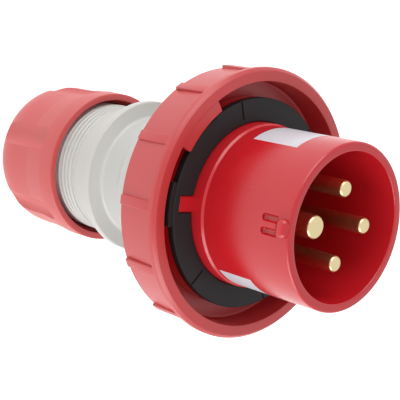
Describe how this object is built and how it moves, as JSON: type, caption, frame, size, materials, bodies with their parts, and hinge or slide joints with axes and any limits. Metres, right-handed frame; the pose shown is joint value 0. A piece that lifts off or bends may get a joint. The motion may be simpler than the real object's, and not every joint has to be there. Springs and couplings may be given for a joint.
{
  "type": "industrial pin and sleeve plug",
  "caption": "Watertight round plug with a keyed shroud, contact pins, a bayonet locking ring on a face gasket, and a two-part housing with a cable gland nut.",
  "frame": {"origin": "centre of the rear face of the gland nut, on the plug's axis, where it stands", "axes": "+Z along the axis from the gland nut to the mouth, +X towards the key and the earth pin"},
  "size_m": [0.0848, 0.0848, 0.145],
  "materials": {
    "shell_red": "satin moulded polyamide, strong red",
    "ring_red": "satin moulded polyamide, strong red",
    "nut_red": "satin moulded polyamide, strong red",
    "carrier_red": "matt moulded polyamide, strong red",
    "shell_grey": "satin moulded polyamide, light grey",
    "inner_plastic": "natural polyamide",
    "seal_black": "matt black elastomer",
    "contact_brass": "turned brass",
    "screw_steel": "zinc plated steel",
    "label_white": "satin white plate, bare"
  },
  "bodies": {
    "plug_body": {"front_housing": "shell_red", "face_gasket": "seal_black", "contact_carrier": "carrier_red", "pin_retainer": "inner_plastic", "retainer_screws": "screw_steel", "earth_pin": "contact_brass", "phase_pin_1": "contact_brass", "phase_pin_2": "contact_brass", "phase_pin_3": "contact_brass", "earth_screw": "screw_steel", "phase_screw_1": "screw_steel", "phase_screw_2": "screw_steel", "phase_screw_3": "screw_steel", "rear_housing": "shell_grey", "housing_o_ring": "seal_black", "housing_screw": "screw_steel", "cable_seal": "seal_black", "clamp_cage": "inner_plastic", "upper_label": "label_white", "lower_label": "label_white"},
    "locking_ring": {"bayonet_ring": "ring_red"},
    "washer": {"slip_washer": "inner_plastic"},
    "nut": {"gland_nut": "nut_red"}
  },
  "joints": [
    {"name": "ring_turn", "type": "hinge", "parent": "plug_body", "child": "locking_ring", "pos_m": [0, 0, 0.098], "axis": [0, 0, 1], "range_deg": [0, 55]},
    {"name": "nut_travel", "type": "slide", "parent": "plug_body", "child": "washer", "axis": [0, 0, 1], "range_m": [-0.0076, 0]},
    {"name": "nut_turn", "type": "hinge", "parent": "washer", "child": "nut", "pos_m": [0, 0, 0.012], "axis": [0, 0, 1], "range_deg": [-1080, 0]}
  ],
  "couplings": [
    {"joint": "nut_travel", "follows": "nut_turn", "m_per_rad": 0.00039789}
  ]
}
